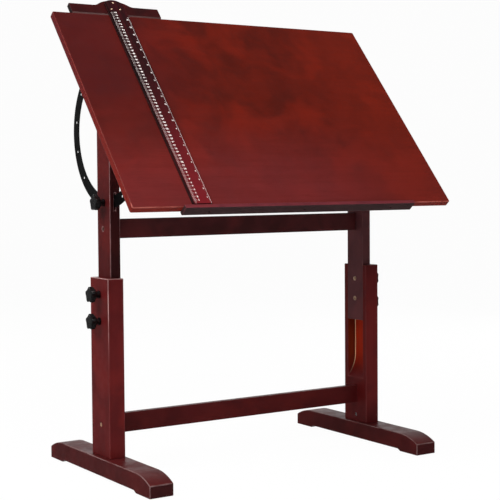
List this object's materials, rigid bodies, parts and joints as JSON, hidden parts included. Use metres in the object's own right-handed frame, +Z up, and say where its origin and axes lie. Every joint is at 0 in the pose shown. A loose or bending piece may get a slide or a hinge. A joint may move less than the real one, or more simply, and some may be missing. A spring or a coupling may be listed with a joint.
{
  "type": "drafting table",
  "caption": "Wooden drafting table with sled feet, telescoping posts, a tilting board locked by steel arcs and star knobs, a pencil ledge and a sliding T-square.",
  "frame": {"origin": "on the floor, at the middle of the whole table's bounding box as it stands, midway between the posts. The posts' middle plane and the axis that the board tilts about are 11.6 mm behind it", "axes": "+X to the user's right along the tilt axis, +Y away from the user, +Z up"},
  "size_m": [0.888, 0.5312, 1.123],
  "materials": {
    "stained_wood": "dark mahogany-red stain, satin lacquer",
    "board_wood": "mottled mahogany-red stain, satin lacquer",
    "dark_wood": "dark brown-red stain, satin lacquer",
    "blade_wood": "dark brown stain with pale printed scales",
    "beech": "bare",
    "black_steel": "black satin enamel",
    "zinc_steel": "zinc plated",
    "brass": "brass plated",
    "black_plastic": "moulded, satin"
  },
  "bodies": {
    "base": {"foot_left": "stained_wood", "foot_right": "stained_wood", "lower_post_left": "stained_wood", "lower_post_right": "stained_wood", "lower_stretcher": "stained_wood", "foot_bolts": "zinc_steel", "foot_barrel_nuts": "zinc_steel", "foot_dowels": "beech", "stretcher_bolts": "brass", "stretcher_barrel_nuts": "zinc_steel", "stretcher_dowels": "beech", "height_knob_inserts": "brass", "height_knob_washers": "black_steel"},
    "upper_frame": {"upper_post_left": "stained_wood", "upper_post_right": "stained_wood", "upper_crossbar": "stained_wood", "crossbar_bolts": "brass", "crossbar_barrel_nuts": "zinc_steel", "crossbar_dowels": "beech", "clamp_plates": "zinc_steel", "clamp_plate_bolts": "brass", "tilt_knob_inserts": "brass", "tilt_knob_washers": "black_steel", "pivot_bolts": "zinc_steel", "pivot_washers": "zinc_steel", "pivot_nuts": "zinc_steel"},
    "board": {"tabletop": "board_wood", "ledge": "dark_wood", "ledge_screws": "black_steel", "batten_left": "stained_wood", "batten_right": "stained_wood", "batten_screws": "zinc_steel", "tilt_arc_left": "black_steel", "tilt_arc_right": "black_steel", "arc_screws": "black_steel"},
    "t_square": {"t_square_head": "dark_wood", "t_square_blade": "blade_wood", "t_square_rivets": "brass"},
    "tilt_knob_left_turn": {"tilt_knob_left": "black_plastic", "tilt_stud_left": "zinc_steel"},
    "tilt_knob_right_turn": {"tilt_knob_right": "black_plastic", "tilt_stud_right": "zinc_steel"},
    "height_knob_left_lower_turn": {"height_knob_left_lower": "black_plastic", "height_stud_left_lower": "zinc_steel"},
    "height_knob_left_upper_turn": {"height_knob_left_upper": "black_plastic", "height_stud_left_upper": "zinc_steel"},
    "height_knob_right_lower_turn": {"height_knob_right_lower": "black_plastic", "height_stud_right_lower": "zinc_steel"},
    "height_knob_right_upper_turn": {"height_knob_right_upper": "black_plastic", "height_stud_right_upper": "zinc_steel"}
  },
  "joints": [
    {"name": "height_slide", "type": "slide", "parent": "base", "child": "upper_frame", "axis": [0, 0, 1], "range_m": [-0.09, 0.03]},
    {"name": "board_tilt", "type": "hinge", "parent": "upper_frame", "child": "board", "pos_m": [0, 0.01157, 0.798], "axis": [1, 0, 0], "range_deg": [-49.5, 24.75]},
    {"name": "t_square_slide", "type": "slide", "parent": "board", "child": "t_square", "axis": [1, 0, 0], "range_m": [-0.04, 0.58]},
    {"name": "tilt_knob_left_spin", "type": "hinge", "parent": "upper_frame", "child": "tilt_knob_left_turn", "pos_m": [-0.3785, 0.01157, 0.633], "axis": [-1, 0, 0], "continuous": true},
    {"name": "tilt_knob_right_spin", "type": "hinge", "parent": "upper_frame", "child": "tilt_knob_right_turn", "pos_m": [0.3785, 0.01157, 0.633], "axis": [1, 0, 0], "continuous": true},
    {"name": "height_knob_left_lower_spin", "type": "hinge", "parent": "base", "child": "height_knob_left_lower_turn", "pos_m": [-0.3925, 0.01157, 0.36], "axis": [-1, 0, 0], "continuous": true},
    {"name": "height_knob_left_upper_spin", "type": "hinge", "parent": "base", "child": "height_knob_left_upper_turn", "pos_m": [-0.3925, 0.01157, 0.422], "axis": [-1, 0, 0], "continuous": true},
    {"name": "height_knob_right_lower_spin", "type": "hinge", "parent": "base", "child": "height_knob_right_lower_turn", "pos_m": [0.3925, 0.01157, 0.36], "axis": [1, 0, 0], "continuous": true},
    {"name": "height_knob_right_upper_spin", "type": "hinge", "parent": "base", "child": "height_knob_right_upper_turn", "pos_m": [0.3925, 0.01157, 0.422], "axis": [1, 0, 0], "continuous": true}
  ]
}
